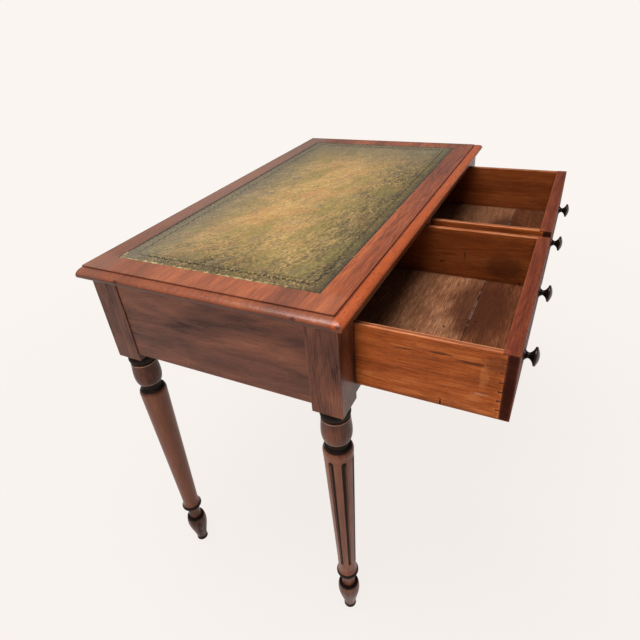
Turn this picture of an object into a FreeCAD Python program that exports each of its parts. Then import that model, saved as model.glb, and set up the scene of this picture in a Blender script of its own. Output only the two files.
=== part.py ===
import FreeCAD, Part
import math
import os

# Writing table with a leather-lined top, turned legs and a pair of frieze drawers, in millimetres.
# +Z is up and the drawers open towards -Y. The origin is on the floor, under the middle of the
# table's box with both drawers pulled out as far as they are stored.

# Top
table_width = 914.0
table_height = 768.0
top_depth = 493.0
top_thickness = 16.0
moulding_projection = 18.0
quirk_depth = 2.6
quirk_width = 1.8
nose_depth = 11.0
nose_return = 3.5
end_border = 45.0
front_border = 42.5
rear_border = 40.0
leather_recess = 1.0
leather_thickness = 0.8
leather_gap = 0.4

# How far the moulded top stands out beyond the posts
end_overhang = 13.0
front_overhang = 12.5
rear_overhang = 20.0

# Square posts at the head of the legs
post_size = 53.0
post_height = 167.0
post_arris = 1.0

# Turned legs, from the post down to the floor
ring_neck_radius = 21.5
ring_neck_height = 4.0
ring_radius = 25.6
ring_height = 17.0
vase_rim_radius = 24.4
vase_rim_height = 2.0
vase_upper_radius = 25.2
vase_upper_drop = 12.0
vase_radius = 26.4
vase_belly_drop = 31.0
vase_foot_radius = 23.4
vase_height = 48.0
waist_radius = 18.8
waist_height = 15.0
shaft_top_radius = 26.5
shaft_shoulder_height = 13.0
shoulder_turn_radius = 24.4
shoulder_turn_drop = 4.5
shaft_bottom_radius = 17.4
collar_flare_height = 12.0
collar_flare_hollow = 0.8
collar_edge_radius = 21.0
collar_radius = 22.2
collar_height = 7.0
ankle_top_radius = 15.0
ankle_radius = 13.6
ankle_foot_radius = 14.0
ankle_height = 39.0
bulb_rim_radius = 19.4
bulb_radius = 22.0
bulb_lower_radius = 18.4
bulb_depth = 14.0
foot_height = 86.0
toe_neck_radius = 12.0
toe_neck_height = 9.0
toe_radius = 12.8

# Flutes of the front legs
flute_count = 7
flute_top_margin = 15.0
flute_bottom_margin = 26.0
flute_top_width = 10.0
flute_bottom_width = 6.2
flute_top_depth = 4.4
flute_bottom_depth = 2.8
flute_bearing = 225.0

# Rails of the frame
rail_thickness = 20.0
rail_setback = 2.0
rail_rise = 14.0
tenon_thickness = 8.0
tenon_length = 25.0
tenon_top_shoulder = 22.0
tenon_bottom_shoulder = 14.0
front_rail_rise = 12.0
front_rail_height = 16.0
front_rail_depth = 50.0
front_tenon_height = 8.0
front_tenon_depth = 30.0
top_rail_height = 23.0
top_rail_depth = 45.0
top_tenon_height = 11.0
top_tenon_depth = 25.0
divider_width = 25.0
divider_depth = 45.0
divider_tenon_depth = 25.0
divider_tenon_length = 8.0

# Drawer runners, guides and stops
runner_width = 26.0
runner_height = 16.0
runner_tenon_height = 6.0
runner_tenon_length = 8.0
guide_height = 15.0
stop_width = 40.0
stop_depth = 20.0
stop_height = 5.0
stop_spacing = 200.0
stop_gap = 0.3

# Glue blocks and screws that hold the top
glue_block_size = 22.0
glue_block_length = 60.0
end_block_spacing = 200.0
back_block_spacing = 260.0
screw_length = 34.0
screw_radius = 2.2
screw_head_radius = 4.4
screw_head_height = 3.0
screw_inner_x = 110.0
screw_outer_x = 290.0
screw_fit = 0.1

# Drawers
drawer_pull = 226.0
side_clearance = 1.0
running_gap = 0.3
drawer_headroom = 3.0
drawer_back_room = 13.5
front_thickness = 21.0
front_arris = 1.2
side_thickness = 10.0
side_arris = 2.2
back_thickness = 10.0
back_drop = 6.0
bottom_recess = 6.4
bottom_thickness = 6.5
groove_depth = 5.0
groove_cover = 1.0
board_joint_from_face = 101.0
board_joint_gap = 1.2
dovetail_lap = 15.0
front_tail_count = 7
front_pin_width = 4.4
back_tail_count = 4
back_pin_width = 7.0
tail_flare = 1.2
nail_count = 3
nail_spacing = 120.0
nail_length = 18.0
nail_radius = 1.1
nail_head_radius = 2.4
nail_head_height = 0.8

# Turned knobs
knob_spacing = 190.0
knob_drop = 6.0
knob_tenon_radius = 6.0
knob_tenon_length = 15.0
knob_fit = 0.1
knob_base_radius = 8.6
knob_base_height = 1.5
knob_cove_radius = 6.4
knob_cove_height = 3.2
knob_neck_radius = 4.6
knob_neck_height = 6.6
knob_flare_radius = 6.6
knob_flare_height = 10.2
knob_back_radius = 12.6
knob_back_height = 13.6
knob_rim_radius = 14.7
knob_rim_height = 15.4
knob_face_radius = 12.6
knob_face_height = 18.2
knob_projection = 21.5

# Places worked out from the sizes above
case_depth = top_depth - front_overhang - rear_overhang
post_outer_x = table_width / 2 - end_overhang
post_inner_x = post_outer_x - post_size
front_y = (drawer_pull + knob_projection - case_depth - rear_overhang) / 2
rear_y = front_y + case_depth
top_front_y = front_y - front_overhang
top_rear_y = rear_y + rear_overhang
under_top_z = table_height - top_thickness
post_bottom_z = under_top_z - post_height
rail_bottom_z = post_bottom_z + rail_rise
rail_outer_x = post_outer_x - rail_setback
rail_inner_x = rail_outer_x - rail_thickness
back_rail_outer_y = rear_y - rail_setback
back_rail_inner_y = back_rail_outer_y - rail_thickness
front_rail_z = post_bottom_z + front_rail_rise
bed_z = front_rail_z + front_rail_height
runner_z = bed_z - runner_height
top_rail_z = under_top_z - top_rail_height
leg_x = post_outer_x - post_size / 2
front_leg_y = front_y + post_size / 2
rear_leg_y = rear_y - post_size / 2
drawer_z = bed_z + running_gap
drawer_top_z = top_rail_z - drawer_headroom
drawer_outer_x = post_inner_x - side_clearance
drawer_inner_x = divider_width / 2 + side_clearance
drawer_face_y = front_y - drawer_pull
drawer_length = back_rail_inner_y - front_y - drawer_back_room
drawer_rear_y = drawer_face_y + drawer_length
front_inner_y = drawer_face_y + front_thickness
back_inner_y = drawer_rear_y - back_thickness
bottom_z = drawer_z + bottom_recess
bottom_top_z = bottom_z + bottom_thickness
back_top_z = drawer_top_z - back_drop

X_AXIS = FreeCAD.Vector(1, 0, 0)
Y_AXIS = FreeCAD.Vector(0, 1, 0)
Z_AXIS = FreeCAD.Vector(0, 0, 1)
ORIGIN = FreeCAD.Vector(0, 0, 0)
tolerance = 0.001


def block(x, y, z):
    """A box from its (low, high) pairs along each axis."""
    size = [high - low for low, high in (x, y, z)]
    return Part.makeBox(*size, FreeCAD.Vector(x[0], y[0], z[0]))


def mirrored(shape):
    """The same piece for the other end of the table."""
    return shape.mirror(ORIGIN, X_AXIS)


def cut_all(shape, tools):
    """A shape with every tool taken out of it."""
    for tool in tools:
        shape = shape.cut(tool)
    return shape


def fuse_all(shapes):
    """One solid from touching shapes."""
    whole = shapes[0]
    for shape in shapes[1:]:
        whole = whole.fuse(shape)
    return whole.removeSplitter()


def line(start, end):
    """A straight edge between two (radius or offset, height) points of an outline."""
    return Part.LineSegment(flat_point(start), flat_point(end)).toShape()


def arc(start, middle, end):
    """A round edge through three points of an outline."""
    return Part.Arc(flat_point(start), flat_point(middle), flat_point(end)).toShape()


def curve(points):
    """A smooth edge through the points of an outline."""
    spline = Part.BSplineCurve()
    spline.interpolate([flat_point(point) for point in points])
    return spline.toShape()


def flat_point(point):
    """An outline's point, drawn in the XZ plane."""
    return FreeCAD.Vector(point[0], 0, point[1])


def outline_face(edges):
    """A face bounded by edges given in any order."""
    return Part.Face(Part.Wire(Part.__sortEdges__(edges)))


def turned(edges, start, end):
    """A solid of revolution about Z from an outline that starts and ends at two heights on the axis."""
    return outline_face(edges + [line((0, end), (0, start))]).revolve(ORIGIN, Z_AXIS, 360)


def ellipse_quarter(centre, across, down):
    """A quarter of an ellipse from the point across from its centre to the point above or below it."""
    offsets = sorted((across, down), key=lambda end: -math.dist(centre, end))
    points = [flat_point(end) for end in offsets]
    ellipse = Part.Ellipse(points[0], points[1], flat_point(centre))
    return Part.ArcOfEllipse(ellipse, 0, math.pi / 2).toShape()


def moulding_edges(flat_edge):
    """The moulded edge, from the flat of the top, over a quirk and a thumb, to the underside."""
    def at(offset, depth):
        return (flat_edge - offset, table_height - depth)

    nose = moulding_projection
    turn = nose - nose_return
    return [
        line(at(0, 0), at(0, quirk_depth)),
        line(at(0, quirk_depth), at(quirk_width, quirk_depth)),
        ellipse_quarter(at(quirk_width, nose_depth), at(nose, nose_depth), at(quirk_width, quirk_depth)),
        ellipse_quarter(at(turn, nose_depth), at(nose, nose_depth), at(turn, top_thickness)),
    ]


def moulded_top():
    """The board with its thumb moulding on both ends and the front, meeting in mitres."""
    flat_half = table_width / 2 - moulding_projection
    turn_half = table_width / 2 - nose_return
    left_end = moulding_edges(-flat_half)
    across = left_end + [mirrored(edge) for edge in left_end]
    across.append(line((-flat_half, table_height), (flat_half, table_height)))
    across.append(line((-turn_half, under_top_z), (turn_half, under_top_z)))
    along_y = outline_face(across)
    along_y.translate(FreeCAD.Vector(0, top_front_y, 0))
    ends_moulded = along_y.extrude(FreeCAD.Vector(0, top_depth, 0))

    front_edge = top_front_y + moulding_projection
    deep = moulding_edges(front_edge)
    deep.append(line((front_edge, table_height), (top_rear_y, table_height)))
    deep.append(line((top_rear_y, table_height), (top_rear_y, under_top_z)))
    deep.append(line((top_rear_y, under_top_z), (top_front_y + nose_return, under_top_z)))
    along_x = outline_face(deep)
    along_x.rotate(ORIGIN, Z_AXIS, 90)
    along_x.translate(FreeCAD.Vector(-table_width / 2, 0, 0))
    front_moulded = along_x.extrude(FreeCAD.Vector(table_width, 0, 0))
    return ends_moulded.common(front_moulded)


def leather_box(gap, low, high):
    """The leather's rectangle, drawn in by a gap, between two heights."""
    half = table_width / 2 - moulding_projection - end_border - gap
    front = top_front_y + moulding_projection + front_border + gap
    rear = top_rear_y - rear_border - gap
    return block((-half, half), (front, rear), (low, high))


def top_board(screws):
    recess = leather_box(0, table_height - leather_recess, table_height)
    return cut_all(moulded_top(), [recess] + screws)


def leather_skiver():
    floor = table_height - leather_recess
    return leather_box(leather_gap, floor, floor + leather_thickness)


def post(y):
    """A square post with its four long arrises eased, centred on the left-hand leg's axis."""
    half = post_size / 2
    body = block((-leg_x - half, -leg_x + half), (y - half, y + half), (post_bottom_z, under_top_z))
    arrises = [edge for edge in body.Edges if abs(edge.BoundBox.ZLength - post_height) < tolerance]
    return body.makeFillet(post_arris, arrises)


def shaft_span():
    """Heights where the tapered shaft starts and ends."""
    above = ring_neck_height + ring_height + vase_rim_height + vase_height + waist_height
    top = post_bottom_z - above - shaft_shoulder_height
    bottom = foot_height + ankle_height + collar_height + collar_flare_height
    return top, bottom


def leg_outline():
    """The turned leg's edges from the post down to the toe."""
    shaft_top, shaft_bottom = shaft_span()
    ring_top = post_bottom_z - ring_neck_height
    ring_bottom = ring_top - ring_height
    vase_top = ring_bottom - vase_rim_height
    vase_bottom = vase_top - vase_height
    shoulder = vase_bottom - waist_height
    collar_top = shaft_bottom - collar_flare_height
    collar_bottom = collar_top - collar_height
    bulb_top = foot_height
    bulb_wide = bulb_top - bulb_depth
    toe_top = toe_neck_height
    flare_middle = (shaft_bottom_radius + collar_edge_radius) / 2
    ankle_middle = (collar_bottom + bulb_top) / 2
    bulb_lower = (bulb_wide + toe_top) / 2
    ring_middle = (ring_top + ring_bottom) / 2
    return [
        line((0, post_bottom_z), (ring_neck_radius, post_bottom_z)),
        line((ring_neck_radius, post_bottom_z), (ring_neck_radius, ring_top)),
        arc((ring_neck_radius, ring_top), (ring_radius, ring_middle), (ring_neck_radius, ring_bottom)),
        line((ring_neck_radius, ring_bottom), (vase_rim_radius, vase_top)),
        curve([
            (vase_rim_radius, vase_top),
            (vase_upper_radius, vase_top - vase_upper_drop),
            (vase_radius, vase_top - vase_belly_drop),
            (vase_foot_radius, vase_bottom),
        ]),
        line((vase_foot_radius, vase_bottom), (waist_radius, vase_bottom)),
        line((waist_radius, vase_bottom), (waist_radius, shoulder)),
        arc(
            (waist_radius, shoulder),
            (shoulder_turn_radius, shoulder - shoulder_turn_drop),
            (shaft_top_radius, shaft_top),
        ),
        line((shaft_top_radius, shaft_top), (shaft_bottom_radius, shaft_bottom)),
        arc(
            (shaft_bottom_radius, shaft_bottom),
            (flare_middle - collar_flare_hollow, (shaft_bottom + collar_top) / 2),
            (collar_edge_radius, collar_top),
        ),
        arc(
            (collar_edge_radius, collar_top),
            (collar_radius, (collar_top + collar_bottom) / 2),
            (collar_edge_radius, collar_bottom),
        ),
        line((collar_edge_radius, collar_bottom), (ankle_top_radius, collar_bottom)),
        arc((ankle_top_radius, collar_bottom), (ankle_radius, ankle_middle), (ankle_foot_radius, bulb_top)),
        line((ankle_foot_radius, bulb_top), (bulb_rim_radius, bulb_top)),
        curve([
            (bulb_rim_radius, bulb_top),
            (bulb_radius, bulb_wide),
            (bulb_lower_radius, bulb_lower),
            (toe_neck_radius, toe_top),
        ]),
        line((toe_neck_radius, toe_top), (toe_radius, 0)),
        line((toe_radius, 0), (0, 0)),
    ]


def flutes():
    """One tapered, round-ended cutter per flute, set round a leg that stands on the origin."""
    shaft_top, shaft_bottom = shaft_span()
    slope = (shaft_top_radius - shaft_bottom_radius) / (shaft_top - shaft_bottom)

    def cutter_radius(width, depth):
        return (width ** 2 / 4 + depth ** 2) / (2 * depth)

    def centre(height, radius, depth):
        surface = shaft_bottom_radius + slope * (height - shaft_bottom)
        return FreeCAD.Vector(surface + radius - depth, 0, height)

    wide = cutter_radius(flute_top_width, flute_top_depth)
    narrow = cutter_radius(flute_bottom_width, flute_bottom_depth)
    high = centre(shaft_top - flute_top_margin, wide, flute_top_depth)
    low = centre(shaft_bottom + flute_bottom_margin, narrow, flute_bottom_depth)
    run = high - low
    channel = Part.makeCone(narrow, wide, run.Length, low, run)
    cutter = channel.fuse([Part.makeSphere(wide, high), Part.makeSphere(narrow, low)])
    cutters = []
    for number in range(flute_count):
        turned_cutter = cutter.copy()
        turned_cutter.rotate(ORIGIN, Z_AXIS, flute_bearing + 360 * number / flute_count)
        cutters.append(turned_cutter)
    return cutters


def leg(y, mortises, fluted):
    """A left-hand leg: post and turning in one piece of wood, mortised for the rails."""
    turning = turned(leg_outline(), post_bottom_z, 0)
    if fluted:
        turning = cut_all(turning, flutes())
    turning.translate(FreeCAD.Vector(-leg_x, y, 0))
    return cut_all(post(y).fuse(turning), mortises)


def end_rail():
    """The left end rail and its two tenons."""
    x = (-rail_outer_x, -rail_inner_x)
    middle_x = (x[0] + x[1]) / 2
    tenon_x = (middle_x - tenon_thickness / 2, middle_x + tenon_thickness / 2)
    tenon_z = (rail_bottom_z + tenon_bottom_shoulder, under_top_z - tenon_top_shoulder)
    shoulders = (front_y + post_size, rear_y - post_size)
    body = block(x, shoulders, (rail_bottom_z, under_top_z))
    tenon = block(tenon_x, (shoulders[0] - tenon_length, shoulders[1] + tenon_length), tenon_z)
    return fuse_all([body, tenon])


def back_rail(tenons_housed):
    """The rail across the back, with housings for the runners' rear tenons."""
    middle_y = (back_rail_outer_y + back_rail_inner_y) / 2
    tenon_y = (middle_y - tenon_thickness / 2, middle_y + tenon_thickness / 2)
    tenon_z = (rail_bottom_z + tenon_bottom_shoulder, under_top_z - tenon_top_shoulder)
    reach = post_inner_x + tenon_length
    body_y = (back_rail_inner_y, back_rail_outer_y)
    body = block((-post_inner_x, post_inner_x), body_y, (rail_bottom_z, under_top_z))
    tenon = block((-reach, reach), tenon_y, tenon_z)
    return cut_all(fuse_all([body, tenon]), tenons_housed)


def cross_rail(depth, z, tenon_depth, tenon_height):
    """A rail across the front, flush with the posts and tenoned into both."""
    middle_y = front_y + depth / 2
    middle_z = (z[0] + z[1]) / 2
    tenon_y = (middle_y - tenon_depth / 2, middle_y + tenon_depth / 2)
    tenon_z = (middle_z - tenon_height / 2, middle_z + tenon_height / 2)
    reach = post_inner_x + tenon_length
    body = block((-post_inner_x, post_inner_x), (front_y, front_y + depth), z)
    return fuse_all([body, block((-reach, reach), tenon_y, tenon_z)])


def drawer_divider():
    """The upright between the drawers, with a stub tenon into each front rail."""
    half = divider_width / 2
    middle_y = front_y + divider_depth / 2
    body = block((-half, half), (front_y, front_y + divider_depth), (bed_z, top_rail_z))
    tenon_x = (-tenon_thickness / 2, tenon_thickness / 2)
    tenon_y = (middle_y - divider_tenon_depth / 2, middle_y + divider_tenon_depth / 2)
    tenon = block(tenon_x, tenon_y, (bed_z - divider_tenon_length, top_rail_z + divider_tenon_length))
    return fuse_all([body, tenon])


def runner(x):
    """A drawer runner from the front rail to the back rail, tongued into both."""
    y = (front_y + front_rail_depth, back_rail_inner_y)
    middle_z = (runner_z + bed_z) / 2
    tongue_z = (middle_z - runner_tenon_height / 2, middle_z + runner_tenon_height / 2)
    tongue = block(x, (y[0] - runner_tenon_length, y[1] + runner_tenon_length), tongue_z)
    return fuse_all([block(x, y, (runner_z, bed_z)), tongue])


def end_guide():
    """The strip on the left end rail that keeps the drawer straight and carries its runner."""
    y = (front_y + post_size, rear_y - post_size)
    return block((-rail_inner_x, -post_inner_x), y, (runner_z, bed_z + guide_height))


def centre_guide():
    half = divider_width / 2
    return block((-half, half), (front_y + divider_depth, back_rail_inner_y), (bed_z, bed_z + guide_height))


def drawer_stops():
    """Blocks on the front rail that the drawer fronts meet when they are pushed home."""
    y = front_y + front_thickness + stop_gap
    drawer_middle = (drawer_outer_x + drawer_inner_x) / 2
    stops = []
    for middle in (-drawer_middle, drawer_middle):
        for offset in (-stop_spacing / 2, stop_spacing / 2):
            x = middle + offset
            stop_x = (x - stop_width / 2, x + stop_width / 2)
            stops.append(block(stop_x, (y, y + stop_depth), (bed_z, bed_z + stop_height)))
    return Part.makeCompound(stops)


def glue_block():
    """A three-cornered block in the angle of a rail at x = 0 that faces +X, centred on y = 0."""
    corners = [(0, under_top_z), (glue_block_size, under_top_z), (0, under_top_z - glue_block_size)]
    edges = [line(corners[number], corners[(number + 1) % 3]) for number in range(3)]
    face = outline_face(edges)
    face.translate(FreeCAD.Vector(0, -glue_block_length / 2, 0))
    return face.extrude(FreeCAD.Vector(0, glue_block_length, 0))


def glue_blocks():
    """Blocks under the top along both end rails and the back rail."""
    blocks = []
    middle_y = (front_y + rear_y) / 2
    for offset in (-end_block_spacing / 2, end_block_spacing / 2):
        left = glue_block()
        left.translate(FreeCAD.Vector(-rail_inner_x, middle_y + offset, 0))
        blocks += [left, mirrored(left)]
    for place in (-1, 0, 1):
        back = glue_block()
        back.rotate(ORIGIN, Z_AXIS, -90)
        back.translate(FreeCAD.Vector(place * back_block_spacing, back_rail_inner_y, 0))
        blocks.append(back)
    return Part.makeCompound(blocks)


def screws(extra):
    """Countersunk screws up through the front top rail into the top, with room to spare round them."""
    shapes = []
    y = front_y + top_rail_depth / 2
    for x in (-screw_outer_x, -screw_inner_x, screw_inner_x, screw_outer_x):
        foot = FreeCAD.Vector(x, y, top_rail_z)
        head = Part.makeCone(screw_head_radius + extra, screw_radius + extra, screw_head_height, foot)
        shank = Part.makeCylinder(screw_radius + extra, screw_length + extra, foot)
        shapes.append(head.fuse(shank).removeSplitter())
    return shapes


def tail_spans(low, high, count, pin_width):
    """Heights between which evenly spaced dovetails start, with half a pin left at either end."""
    pitch = (high - low) / count
    feet = [low + number * pitch for number in range(count)]
    return [(foot + pin_width / 2, foot + pitch - pin_width / 2) for foot in feet]


def tails(x, base_y, end_y, spans):
    """Dovetails across a drawer side, from their root to their wider end."""
    shapes = []
    for low, high in spans:
        corners = [(base_y, low), (end_y, low - tail_flare), (end_y, high + tail_flare), (base_y, high)]
        points = [FreeCAD.Vector(x[0], y, height) for y, height in corners]
        face = Part.Face(Part.makePolygon(points + points[:1]))
        shapes.append(face.extrude(FreeCAD.Vector(x[1] - x[0], 0, 0)))
    return shapes


def front_tails(x):
    """Lapped dovetails, of which the lowest covers the end of the groove for the bottom."""
    first_pin = bottom_top_z + groove_cover + front_pin_width / 2
    spans = tail_spans(drawer_z, first_pin, 1, front_pin_width)
    spans += tail_spans(first_pin, drawer_top_z, front_tail_count - 1, front_pin_width)
    return tails(x, front_inner_y, drawer_face_y + dovetail_lap, spans)


def back_tails(x):
    """Through dovetails between the side and the drawer's back."""
    spans = tail_spans(bottom_top_z, back_top_z, back_tail_count, back_pin_width)
    return tails(x, back_inner_y, drawer_rear_y, spans)


def drawer_side(x, bottom):
    """A drawer side with an eased top edge, dovetailed at both ends and grooved for the bottom."""
    body = block(x, (front_inner_y, drawer_rear_y), (drawer_z, drawer_top_z))
    top_edges = [
        edge for edge in body.Edges
        if edge.BoundBox.ZMin > drawer_top_z - tolerance and edge.BoundBox.YLength > back_thickness
    ]
    body = body.makeFillet(side_arris, top_edges)
    corner = block(x, (back_inner_y, drawer_rear_y), (bottom_top_z, back_top_z))
    return fuse_all([body.cut(corner)] + front_tails(x) + back_tails(x)).cut(bottom)


def knob_bores(knob_places):
    """Holes in a drawer front for the knobs' tenons."""
    radius = knob_tenon_radius + knob_fit
    return [Part.makeCylinder(radius, knob_tenon_length, place, Y_AXIS) for place in knob_places]


def drawer_front(x, side_spans, bottom, bores):
    """A drawer front with eased outer arrises and sockets for the lapped dovetails."""
    body = block(x, (drawer_face_y, front_inner_y), (drawer_z, drawer_top_z))
    outer_edges = [edge for edge in body.Edges if edge.BoundBox.YMax < drawer_face_y + tolerance]
    body = body.makeFillet(front_arris, outer_edges)
    sockets = front_tails(side_spans[0]) + front_tails(side_spans[1])
    return cut_all(body, sockets + [bottom] + bores)


def knob():
    """A mushroom knob with its tenon, turned about Z with the drawer's face at height 0."""
    crown = knob_projection - knob_face_height
    dome_radius = (knob_face_radius ** 2 + crown ** 2) / (2 * crown)
    dome_middle = math.asin(knob_face_radius / dome_radius) / 2
    dome_centre = knob_projection - dome_radius
    edges = [
        line((0, -knob_tenon_length), (knob_tenon_radius, -knob_tenon_length)),
        line((knob_tenon_radius, -knob_tenon_length), (knob_tenon_radius, 0)),
        line((knob_tenon_radius, 0), (knob_base_radius, 0)),
        line((knob_base_radius, 0), (knob_base_radius, knob_base_height)),
        curve([
            (knob_base_radius, knob_base_height),
            (knob_cove_radius, knob_cove_height),
            (knob_neck_radius, knob_neck_height),
            (knob_flare_radius, knob_flare_height),
            (knob_back_radius, knob_back_height),
        ]),
        arc(
            (knob_back_radius, knob_back_height),
            (knob_rim_radius, knob_rim_height),
            (knob_face_radius, knob_face_height),
        ),
        arc(
            (knob_face_radius, knob_face_height),
            (dome_radius * math.sin(dome_middle), dome_centre + dome_radius * math.cos(dome_middle)),
            (0, knob_projection),
        ),
    ]
    solid = turned(edges, -knob_tenon_length, knob_projection)
    solid.rotate(ORIGIN, X_AXIS, 90)
    return solid


def nails(middle_x):
    """Nails up through the rear bottom board into the drawer's back."""
    shapes = []
    y = (back_inner_y + drawer_rear_y) / 2
    for number in range(nail_count):
        x = middle_x + (number - (nail_count - 1) / 2) * nail_spacing
        foot = FreeCAD.Vector(x, y, bottom_z)
        shank = Part.makeCylinder(nail_radius, nail_length, foot)
        head = Part.makeCylinder(nail_head_radius, nail_head_height, foot - Z_AXIS * nail_head_height)
        shapes.append(shank.fuse(head).removeSplitter())
    return shapes


def left_drawer():
    """The pieces of the left drawer by name, at the place where it is stored."""
    x = (-drawer_outer_x, -drawer_inner_x)
    outer_side = (x[0], x[0] + side_thickness)
    inner_side = (x[1] - side_thickness, x[1])
    middle_x = (x[0] + x[1]) / 2
    knob_z = (drawer_z + drawer_top_z) / 2 - knob_drop
    board_x = (outer_side[1] - groove_depth, inner_side[0] + groove_depth)
    board_z = (bottom_z, bottom_top_z)
    tongue = block((outer_side[1], inner_side[0]), (front_inner_y - groove_depth, front_inner_y), board_z)
    bottom = fuse_all([block(board_x, (front_inner_y, drawer_rear_y), board_z), tongue])
    joint = drawer_face_y + board_joint_from_face
    joint_y = (joint - board_joint_gap / 2, joint + board_joint_gap / 2)
    front_board = bottom.cut(block(board_x, (joint_y[0], drawer_rear_y), board_z))
    rear_board = block(board_x, (joint_y[1], drawer_rear_y), board_z)
    back = block(x, (back_inner_y, drawer_rear_y), (bottom_top_z, back_top_z))
    nail_shapes = nails(middle_x)
    knob_places = [
        FreeCAD.Vector(middle_x + offset, drawer_face_y, knob_z)
        for offset in (-knob_spacing / 2, knob_spacing / 2)
    ]
    knobs = []
    for place in knob_places:
        shape = knob()
        shape.translate(place)
        knobs.append(shape)
    return {
        "front": drawer_front(x, (outer_side, inner_side), bottom, knob_bores(knob_places)),
        "outer_side": drawer_side(outer_side, bottom),
        "inner_side": drawer_side(inner_side, bottom),
        "back": cut_all(back, back_tails(outer_side) + back_tails(inner_side) + nail_shapes),
        "front_bottom_board": front_board,
        "rear_bottom_board": cut_all(rear_board, nail_shapes),
        "outer_knob": knobs[0],
        "inner_knob": knobs[1],
        "nails": Part.makeCompound(nail_shapes),
    }


def frame_pieces():
    """Legs, rails and the drawers' bearings by name."""
    left_rail = end_rail()
    bottom_rail = cross_rail(front_rail_depth, (front_rail_z, bed_z), front_tenon_depth, front_tenon_height)
    top_rail = cross_rail(top_rail_depth, (top_rail_z, under_top_z), top_tenon_depth, top_tenon_height)
    divider = drawer_divider()
    left_runner = runner((-post_inner_x, -post_inner_x + runner_width))
    right_runner = mirrored(left_runner)
    centre_half = divider_width / 2 + runner_width
    centre_runner = runner((-centre_half, centre_half))
    runners = [left_runner, centre_runner, right_runner]
    rear_rail = back_rail(runners)
    front_leg = leg(front_leg_y, [left_rail, bottom_rail, top_rail], True)
    rear_leg = leg(rear_leg_y, [left_rail, rear_rail], False)
    guide = end_guide()
    return {
        "front_left_leg": front_leg,
        "front_right_leg": mirrored(front_leg),
        "rear_left_leg": rear_leg,
        "rear_right_leg": mirrored(rear_leg),
        "left_end_rail": left_rail,
        "right_end_rail": mirrored(left_rail),
        "back_rail": rear_rail,
        "front_bottom_rail": cut_all(bottom_rail, [divider] + runners),
        "front_top_rail": cut_all(top_rail, [divider] + screws(screw_fit)),
        "drawer_divider": divider,
        "left_runner": left_runner,
        "centre_runner": centre_runner,
        "right_runner": right_runner,
        "left_guide": guide,
        "centre_guide": centre_guide(),
        "right_guide": mirrored(guide),
        "drawer_stops": drawer_stops(),
        "glue_blocks": glue_blocks(),
        "top_screws": Part.makeCompound(screws(0)),
    }


nodes = frame_pieces()
nodes["top_board"] = top_board(screws(screw_fit))
nodes["leather_skiver"] = leather_skiver()
for piece, shape in left_drawer().items():
    nodes["left_drawer_" + piece] = shape
    nodes["right_drawer_" + piece] = mirrored(shape)

os.makedirs("parts", exist_ok=True)
for node, shape in nodes.items():
    shape.exportStep("parts/" + node + ".step")
    print(node, len(shape.Solids), round(shape.Volume / 1000, 2), shape.isValid())
whole = Part.makeCompound(list(nodes.values())).optimalBoundingBox(True, False)
print("box", whole.XMin, whole.XMax, whole.YMin, whole.YMax, whole.ZMin, whole.ZMax)
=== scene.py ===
import math

import bmesh
import bpy
from mathutils import Matrix, Vector


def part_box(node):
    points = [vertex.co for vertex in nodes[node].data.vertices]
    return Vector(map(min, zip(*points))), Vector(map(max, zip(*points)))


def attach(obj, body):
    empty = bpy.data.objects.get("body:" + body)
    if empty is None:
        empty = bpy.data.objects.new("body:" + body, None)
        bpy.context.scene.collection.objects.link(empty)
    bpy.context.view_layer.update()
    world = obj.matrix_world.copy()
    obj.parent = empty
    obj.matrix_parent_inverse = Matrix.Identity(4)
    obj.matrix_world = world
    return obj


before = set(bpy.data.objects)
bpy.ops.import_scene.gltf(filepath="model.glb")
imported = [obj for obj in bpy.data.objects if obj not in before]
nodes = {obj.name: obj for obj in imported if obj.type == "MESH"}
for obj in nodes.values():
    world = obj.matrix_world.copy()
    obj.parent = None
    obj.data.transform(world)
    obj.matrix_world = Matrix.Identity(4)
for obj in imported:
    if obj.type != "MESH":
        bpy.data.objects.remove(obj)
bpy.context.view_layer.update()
top_low, top_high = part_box("top_board")
leather_low, leather_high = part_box("leather_skiver")

# Camera, fitted to the photograph's straight edges, in metres
camera_place = Vector((-0.93065, -0.36041, 1.11924))
camera_forward = Vector((0.73487, 0.40569, -0.54349))
camera_right = Vector((0.43900, -0.89537, -0.07477))
camera_lens = 27.89
camera_sensor = 36.0

# Surroundings: the floor's share of background is a base and a gain with distance
background_colour = (0.96, 0.915, 0.875, 1)
fill_colour = (1.0, 0.985, 0.965, 1)
fill_strength = 0.11
mirror_strength = 0.34
lamp_colour = (1.0, 0.975, 0.95)
floor_colour = (0.62, 0.57, 0.54)
floor_grain = (0.6, 0.6, 0.6)
floor_mottle = 0.97
floor_roughness = 0.9
floor_sheen = 0.1
floor_reach = 9.0
floor_fade = (0.4, 2.2)
floor_share = (0.90, 0.10)
floor_mirror_strength = 0.85

# Numbers of a mix node's colour sockets
mix_colours = (6, 7)
mix_result = 2

# Noise varies about this level
noise_middle = 0.5

# Rims of soft spots: how much finer their noise is than the spot, its least size, and where the rim lies
rim_fineness = 3
least_rim = 0.0012
rim_span = (0.4, 1.0)

# Samples of the corner masks and the eased arrises
corner_samples = 6
arris_samples = 4

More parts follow.
